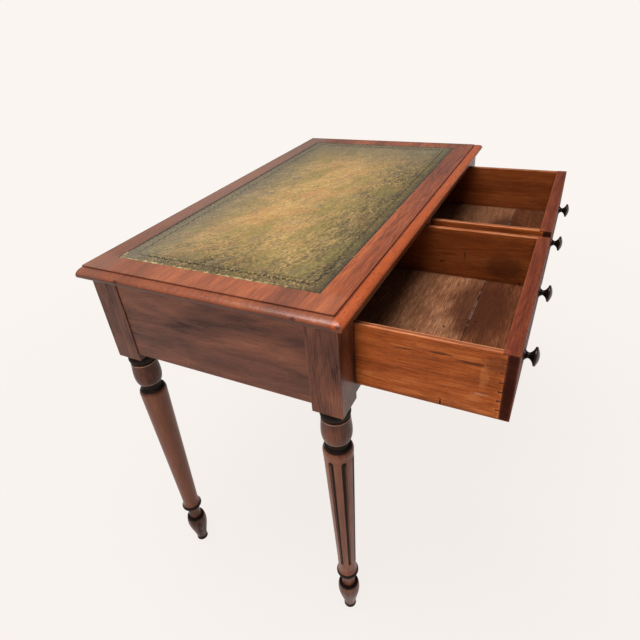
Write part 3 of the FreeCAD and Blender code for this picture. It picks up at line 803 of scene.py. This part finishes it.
def gilt_paint():
    """Gold leaf, kept along the left edge but for its front end, and black with polish elsewhere."""
    paint = Paint("gilt")
    left = paint.inverse(paint.past(paint.x, leather_low.x, gilt_left))
    kept = paint.times(left, paint.past(paint.y, leather_low.y, gilt_front))
    patch = paint.noise(**gilt_patches)
    gold = paint.step(paint.plus(patch, paint.times(kept, gilt_gain), gilt_loss), *gilt_levels)
    paint.colour = paint.mix(gold, paint.mix(kept, tooling_black, bare_gilt_colour), gold_colour)
    paint.bump(patch, tooling_relief)
    return paint.finish(paint.raised(patch, *gilt_roughness), Metallic=paint.times(gold, gold_metal))


# Blind tooling: its patches, and where it is rubbed, from the front, left and rear edges
blind_patches = {"size": (0.03, 0.03, 0.03), "shift": (6, 1, 0), "detail": 4.0, "roughness": 0.65}
blind_levels = (0.35, 0.65)
blind_colour = (0.080, 0.060, 0.027)
rubbed_front = (0.035, 0.060)
rubbed_left = (0.05, 0.20)
rubbed_rear = (-0.060, -0.036)
rubbed_front_tint = (0.60, (0.095, 0.074, 0.031))
rubbed_rear_tint = (0.72, (0.128, 0.113, 0.085))
blind_roughness = (0.4, 0.2)


def blind_paint():
    """Tooling pressed without gold, dark with old polish and rubbed along the front and the rear."""
    paint = Paint("blind_tooling")
    patch = paint.noise(**blind_patches)
    paint.colour = paint.mix(paint.step(patch, *blind_levels), tooling_black, blind_colour)
    front = paint.inverse(paint.past(paint.y, leather_low.y, rubbed_front))
    rubbed = paint.times(front, paint.past(paint.x, leather_low.x, rubbed_left))
    paint.tint(rubbed, rubbed_front_tint)
    paint.tint(paint.past(paint.y, leather_high.y, rubbed_rear), rubbed_rear_tint)
    paint.bump(patch, tooling_relief)
    return paint.finish(paint.raised(patch, *blind_roughness))


# Knobs: the lines of their turning, their blacks and their rubbed rims
knob_line_size = (0.02, 0.0012, 0.02)
knob_line_levels = (0.35, 0.7)
knob_blacks = ((0.006, 0.0035, 0.003), (0.020, 0.009, 0.006))
knob_rub_onset = (0.15, 0.6)
knob_rub_tint = (0.7, (0.060, 0.020, 0.010))
knob_relief = 0.00012
knob_roughness = (0.14, 0.15)
knob_gloss = {"Coat_Weight": 0.1, "Coat_Roughness": 0.1, "Specular_IOR_Level": 0.30}


def ebonised_paint():
    """Black-stained turned wood, rubbed brown at its rim."""
    paint = Paint("ebonised_wood")
    lines = paint.noise(knob_line_size)
    paint.colour = paint.mix(paint.step(lines, *knob_line_levels), *knob_blacks)
    paint.tint(paint.step(paint.edges(rubbed_width), *knob_rub_onset), knob_rub_tint)
    paint.bump(lines, knob_relief)
    return paint.finish(paint.raised(lines, *knob_roughness), **knob_gloss)


# Screws and nails
rust_patches = {"levels": (0.45, 0.65), "size": (0.002, 0.002, 0.002), "detail": 4.0}
iron_colour = (0.21, 0.20, 0.19)
rust_colour = (0.10, 0.045, 0.022)
rust_relief = 0.0001
iron_roughness = (0.38, 0.35)


def steel_paint():
    """Old iron, dulled and brown with rust in places."""
    paint = Paint("steel")
    rust = paint.patches(**rust_patches)
    paint.colour = paint.mix(rust, iron_colour, rust_colour)
    paint.bump(rust, rust_relief)
    return paint.finish(paint.raised(rust, *iron_roughness), Metallic=paint.inverse(rust))


# Tooled border: corners of a band's section, heights, and insets and sizes of lines, beads, dots and scrolls
band_corners = 4
tool_crown = 0.76788
tool_root = 0.76770
outer_line = (0.0004, 0.0022)
bead_line = (0.0068, 0.0010)
inner_line = (0.0310, 0.0009)
bead_inset = 0.0045
bead_size = (0.0036, 0.0009)
bead_pitch = 0.0120
dot_insets = (0.0098, 0.0134, 0.0285)
dot_radius = 0.0014
dot_sides = 6
dot_pitch = 0.0075
scroll_inset = 0.0210
scroll_swing = 0.0046
scroll_pitch = 0.017
scroll_width = 0.0009
scroll_steps = 12

# Rings and leaves of the scroll: the hole is a share of the ring, the ring's shift a share of the swing and a
# leaf's reach a share of its length
ring_radius = 0.0020
ring_sides = 12
ring_hole = 0.5
ring_shift = 0.1
leaf_size = (0.0026, 0.0012)
leaf_leans = (-0.9, 0.0, 0.9)
leaf_reach = 1.4

# Rosettes in the corners
petal_count = 8
petal_reach = 0.0038
petal_size = (0.0024, 0.0011)
rosette_dot_radius = 0.0011
rosette_dot_sides = 8


class Tooling:
    """Thin shapes on the leather's surface, gathered into one mesh."""

    def __init__(self):
        self.points = []
        self.faces = []

    def band(self, pairs, closed):
        """A flat band between pairs of points on its two edges."""
        first = len(self.points)
        count = len(pairs)
        for left, right in pairs:
            self.points += [(*left, tool_crown), (*right, tool_crown)]
            self.points += [(*right, tool_root), (*left, tool_root)]
        for number in range(count if closed else count - 1):
            here = first + band_corners * number
            there = first + band_corners * ((number + 1) % count)
            for corner in range(band_corners):
                follow = (corner + 1) % band_corners
                self.faces.append((here + corner, there + corner, there + follow, here + follow))
        if not closed:
            for end in (first, first + band_corners * (count - 1)):
                self.faces.append([end + corner for corner in range(band_corners)])

    def plate(self, outline):
        """A flat shape inside an outline."""
        first = len(self.points)
        count = len(outline)
        self.points += [(*point, tool_crown) for point in outline]
        self.points += [(*point, tool_root) for point in outline]
        self.faces.append([first + number for number in range(count)])
        self.faces.append([first + count + number for number in range(count)])
        for number in range(count):
            here = first + number
            there = first + (number + 1) % count
            self.faces.append((here, there, there + count, here + count))

    def lay(self, name, material):
        """Makes the piece that lies on the leather."""
        mesh = bpy.data.meshes.new(name)
        mesh.from_pydata(self.points, [], self.faces)
        shaped = bmesh.new()
        shaped.from_mesh(mesh)
        bmesh.ops.recalc_face_normals(shaped, faces=shaped.faces)
        shaped.to_mesh(mesh)
        shaped.free()
        mesh.materials.append(material)
        piece = bpy.data.objects.new(name, mesh)
        bpy.context.scene.collection.objects.link(piece)
        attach(piece, "table")


def leather_corners(inset):
    """The leather's corners, drawn in by an inset, from the front left round to the rear left."""
    left, right = leather_low.x + inset, leather_high.x - inset
    front, rear = leather_low.y + inset, leather_high.y - inset
    return [Vector(corner) for corner in ((left, front), (right, front), (right, rear), (left, rear))]


def leather_sides(inset):
    """Each side of that rectangle: its start, the way along it, the way inward and its length."""
    corners = leather_corners(inset)
    for start, end in zip(corners, corners[1:] + corners[:1]):
        way = (end - start).normalized()
        yield start, way, Vector((-way.y, way.x)), (end - start).length


def repeats(inset, pitch):
    """Evenly spaced places along the four sides, with the way along each side."""
    for start, way, _, length in leather_sides(inset):
        count = round(length / pitch)
        for number in range(count):
            yield start + way * (number + 0.5) * length / count, way


def fillet_line(tooling, inset, width):
    tooling.band(list(zip(leather_corners(inset), leather_corners(inset + width))), True)


def circle(centre, radius, sides):
    turns = [2 * math.pi * number / sides for number in range(sides)]
    return [centre + Vector((math.cos(turn), math.sin(turn))) * radius for turn in turns]


def lozenge(centre, way, size):
    across = Vector((-way.y, way.x))
    long, wide = size
    return [centre - way * long, centre - across * wide, centre + way * long, centre + across * wide]


def scroll_line(tooling, start, way, inward, margin, waves):
    """The waving line of a scroll."""
    pairs = []
    for number in range(waves * scroll_steps + 1):
        turn = 2 * math.pi * number / scroll_steps
        forward = margin + number * scroll_pitch / scroll_steps
        middle = start + way * forward + inward * math.sin(turn) * scroll_swing
        slope = 2 * math.pi * scroll_swing / scroll_pitch * math.cos(turn)
        side = (inward - way * slope).normalized() * scroll_width / 2
        pairs.append((middle + side, middle - side))
    tooling.band(pairs, False)


def scroll(tooling, start, way, inward, length):
    """A running scroll along one side, with a ring and three leaves in each of its half waves."""
    waves = round((length - scroll_pitch) / scroll_pitch)
    margin = (length - waves * scroll_pitch) / 2
    scroll_line(tooling, start, way, inward, margin, waves)
    for number in range(waves * 2):
        swing = inward * scroll_swing * (-1 if number % 2 == 0 else 1)
        middle = start + way * (margin + (number + 0.5) * scroll_pitch / 2)
        ring_middle = middle + swing * ring_shift
        outer = circle(ring_middle, ring_radius, ring_sides)
        inner = circle(ring_middle, ring_radius * ring_hole, ring_sides)
        tooling.band(list(zip(outer, inner)), True)
        for lean in leaf_leans:
            leaf = (swing.normalized() + way * lean).normalized()
            tooling.plate(lozenge(middle - swing + leaf * leaf_size[0] * leaf_reach, leaf, leaf_size))


def rosette(tooling, centre):
    """Petals round a dot, in a corner of the border."""
    for number in range(petal_count):
        turn = 2 * math.pi * number / petal_count
        way = Vector((math.cos(turn), math.sin(turn)))
        tooling.plate(lozenge(centre + way * petal_reach, way, petal_size))
    tooling.plate(circle(centre, rosette_dot_radius, rosette_dot_sides))


def tool_leather():
    """The tooled border: a gilt line and beads, then dots and scrolls between two dark lines."""
    gilt = Tooling()
    fillet_line(gilt, *outer_line)
    for middle, way in repeats(bead_inset, bead_pitch):
        gilt.plate(lozenge(middle, way, bead_size))
    blind = Tooling()
    fillet_line(blind, *bead_line)
    fillet_line(blind, *inner_line)
    for inset in dot_insets:
        for middle, _ in repeats(inset, dot_pitch):
            blind.plate(circle(middle, dot_radius, dot_sides))
    for side in leather_sides(scroll_inset):
        scroll(blind, *side)
    for corner in leather_corners(scroll_inset):
        rosette(blind, corner)
    gilt.lay("gilt_tooling", gilt_paint())
    blind.lay("blind_tooling", blind_paint())


def give(material, *names):
    """Puts a material on CAD nodes."""
    for name in names:
        mesh = nodes[name].data
        mesh.materials.clear()
        mesh.materials.append(material)


def both(*names):
    """The names of a piece in both drawers."""
    return [hand + "_drawer_" + name for hand in ("left", "right") for name in names]


def dress_top():
    finish = {"bands": 1.05, "lines": 0.50, "fine": 0.70, "wear": 0.75, "grime_and_shade": 0.9, "sheen": 0.42}
    board = wood("top_mahogany", "X", top_tones, shift=(0.3, 4.0, 1.0), marks=top_marks, **finish)
    give(board, "top_board")
    give(leather_paint(), "leather_skiver")


def dress_legs():
    finish = {"end_grain": 0, "grime_and_shade": 0.95, "blotch": (0.12, 0.030), "bands": 1.35, "lines": 0.12,
              "fine": 0.6, "sheen": 0.27}
    rear_tones = [shade(tone, rear_leg_shade) for tone in frame_tones]
    for number, name in enumerate(("front_left", "front_right", "rear_left", "rear_right")):
        low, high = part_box(name + "_leg")
        marks = turned_marks(((low.x + high.x) / 2, (low.y + high.y) / 2))
        tones = rear_tones if "rear" in name else frame_tones
        shift = (number, 2.0 * number, 3.0)
        give(wood(name + "_mahogany", "Z", tones, shift, marks=marks, **finish), name + "_leg")


def dress_rails():
    finish = {"blotch": (0.26, 0.060), "bands": 1.1, "lines": 0.15, "grime_and_shade_reach": 0.035}
    for number, name in enumerate(("left_end_rail", "right_end_rail")):
        give(wood(name + "_mahogany", "Y", frame_tones, shift=(5.0, number, 2.0), **finish), name)
    crosswise = wood("cross_mahogany", "X", frame_tones, shift=(1.0, 6.0, 4.0))
    give(crosswise, "back_rail", "front_bottom_rail", "front_top_rail")
    give(wood("divider_mahogany", "Z", frame_tones, shift=(8.0, 1.0, 4.0)), "drawer_divider")


def dress_inside():
    bare = {"coat": 0.0, "wear": 0.1}
    bearings = wood("bare_wood", "Y", bare_tones, shift=(2.0, 2.0, 9.0), rough=(0.55, 0.75), **bare)
    for place in ("left", "centre", "right"):
        give(bearings, place + "_runner", place + "_guide")
    blocks = wood("block_wood", "X", bare_tones, shift=(4.0, 7.0, 1.0), rough=(0.6, 0.8), **bare)
    give(blocks, "drawer_stops", "glue_blocks")
    give(steel_paint(), "top_screws", *both("nails"))


def dress_drawer_cases():
    front = {"rough": (0.45, 0.6), "coat": 0.0, "end_grain": 0.85, "sheen": 0.12}
    give(wood("front_mahogany", "X", front_tones, shift=(6.0, 3.0, 5.0), **front), *both("front"))
    side = {"rough": (0.38, 0.55), "coat": 0.0, "wear": 0.6, "crown": 0.55, "bands": 1.05, "lines": 0.3,
            "fine": 0.65, "sheen": 0.10}
    for name, shift, marks, places in (
        ("marked_side_mahogany", (2.0, 8.0, 3.0), outer_side_marks, ["left_drawer_outer_side"]),
        ("side_mahogany", (5.0, 1.0, 7.0), side_marks,
         ["right_drawer_outer_side", "right_drawer_inner_side"]),
        ("smudged_side_mahogany", (4.0, 3.0, 1.0), inner_side_marks, ["left_drawer_inner_side"]),
    ):
        give(wood(name, "Y", side_tones, shift, marks=marks, **side), *places)
    give(wood("back_mahogany", "X", side_tones, shift=(9.0, 2.0, 3.0), **side), *both("back"))


def dress_drawer_bottoms():
    dry = {"rough": (0.5, 0.7), "coat": 0.0, "wear": 0.2, "bands": 0.25, "lines": 0.45, "fine": 0.6,
           "sheen": 0.06, "marks": bottom_marks}
    rear = wood("rear_oak", "X", oak_tones, shift=(3.0, 3.0, 6.0), flecks=0.7, **dry)
    give(rear, *both("rear_bottom_board"))
    front = wood("front_oak", "X", red_oak_tones, shift=(7.0, 5.0, 6.0), flecks=0.45, **dry)
    give(front, *both("front_bottom_board"))


def floor_paint():
    """A pale floor that takes soft shadows near the table and fades into the background farther off."""
    paint = Paint("floor")
    mottle = paint.noise(floor_grain)
    paint.colour = paint.mix(mottle, floor_colour, shade(floor_colour, floor_mottle))
    paint.finish(floor_roughness, Specular_IOR_Level=floor_sheen)
    far = paint.step(paint.length(paint.place), *floor_fade)
    share = paint.raised(far, *floor_share)
    rays = paint.node("ShaderNodeLightPath")
    seen = paint.most(*[rays.outputs["Is " + kind + " Ray"] for kind in ("Camera", "Glossy", "Transmission")])
    glow = paint.node("ShaderNodeEmission")
    glow.inputs["Color"].default_value = background_colour
    mirrored = paint.times(rays.outputs["Is Glossy Ray"], 1 - floor_mirror_strength)
    paint.put(glow.inputs["Strength"], paint.inverse(mirrored))
    blend = paint.node("ShaderNodeMixShader")
    paint.put(blend.inputs[0], paint.times(seen, share))
    paint.put(blend.inputs[1], paint.shader.outputs["BSDF"])
    paint.put(blend.inputs[2], glow.outputs[0])
    paint.put(paint.output.inputs["Surface"], blend.outputs[0])
    return paint.material


def make_floor():
    mesh = bpy.data.meshes.new("floor")
    signs = ((-1, -1), (1, -1), (1, 1), (-1, 1))
    corners = [(x * floor_reach, y * floor_reach, 0) for x, y in signs]
    mesh.from_pydata(corners, [], [(0, 1, 2, 3)])
    mesh.materials.append(floor_paint())
    floor = bpy.data.objects.new("floor", mesh)
    bpy.context.scene.collection.objects.link(floor)


def make_world():
    """A weak white fill for the light, brighter in reflections, and the plain background to the eye."""
    world = bpy.data.worlds.new("studio")
    bpy.context.scene.world = world
    world.use_nodes = True
    tree = world.node_tree
    tree.nodes.clear()
    rays = tree.nodes.new("ShaderNodeLightPath")
    surface = tree.nodes.new("ShaderNodeBackground")
    surface.inputs["Color"].default_value = fill_colour
    surface.inputs["Strength"].default_value = fill_strength
    for kind, strength in (("Glossy", mirror_strength), ("Transmission", 1.0), ("Camera", 1.0)):
        seen = tree.nodes.new("ShaderNodeBackground")
        seen.inputs["Color"].default_value = background_colour
        seen.inputs["Strength"].default_value = strength
        blend = tree.nodes.new("ShaderNodeMixShader")
        tree.links.new(rays.outputs["Is " + kind + " Ray"], blend.inputs[0])
        tree.links.new(surface.outputs[0], blend.inputs[1])
        tree.links.new(seen.outputs[0], blend.inputs[2])
        surface = blend
    output = tree.nodes.new("ShaderNodeOutputWorld")
    tree.links.new(surface.outputs[0], output.inputs["Surface"])


def make_light(name, place, aim, size, power, mirrored=True):
    """A soft box that faces a point, seen in reflections or not."""
    light = bpy.data.lights.new(name, "AREA")
    light.shape = "RECTANGLE"
    light.size, light.size_y = size
    light.energy = power
    light.color = lamp_colour
    lamp = bpy.data.objects.new(name, light)
    bpy.context.scene.collection.objects.link(lamp)
    lamp.location = place
    lamp.rotation_euler = (Vector(aim) - Vector(place)).to_track_quat("-Z", "Y").to_euler()
    lamp.visible_glossy = mirrored


def make_lights():
    make_light("overhead_box", place=(-0.4, 0.15, 2.7), aim=(0, 0, 0.6), size=(1.5, 1.2), power=68)
    make_light("end_box", place=(-3.0, 0.2, 0.95), aim=(0, 0, 0.6), size=(1.6, 1.0), power=42, mirrored=False)
    make_light("corner_box", place=(2.2, -2.4, 0.85), aim=(0, -0.1, 0.55), size=(1.8, 1.0), power=38,
               mirrored=False)
    make_light("rear_box", place=(0.4, 3.2, 0.75), aim=(0, 0, 0.5), size=(1.8, 1.0), power=26)


def make_camera():
    camera = bpy.data.cameras.new("camera")
    camera.lens = camera_lens
    camera.sensor_width = camera_sensor
    holder = bpy.data.objects.new("camera", camera)
    bpy.context.scene.collection.objects.link(holder)
    right = camera_right.normalized()
    up = right.cross(camera_forward).normalized()
    turn = Matrix((right, up, right.cross(up))).transposed()
    holder.matrix_world = Matrix.Translation(camera_place) @ turn.to_4x4()
    bpy.context.scene.camera = holder


dress_top()
dress_legs()
dress_rails()
dress_inside()
dress_drawer_cases()
dress_drawer_bottoms()
give(ebonised_paint(), *both("outer_knob", "inner_knob"))
tool_leather()
make_floor()
make_world()
make_lights()
make_camera()
bpy.context.scene.view_settings.view_transform = "Standard"
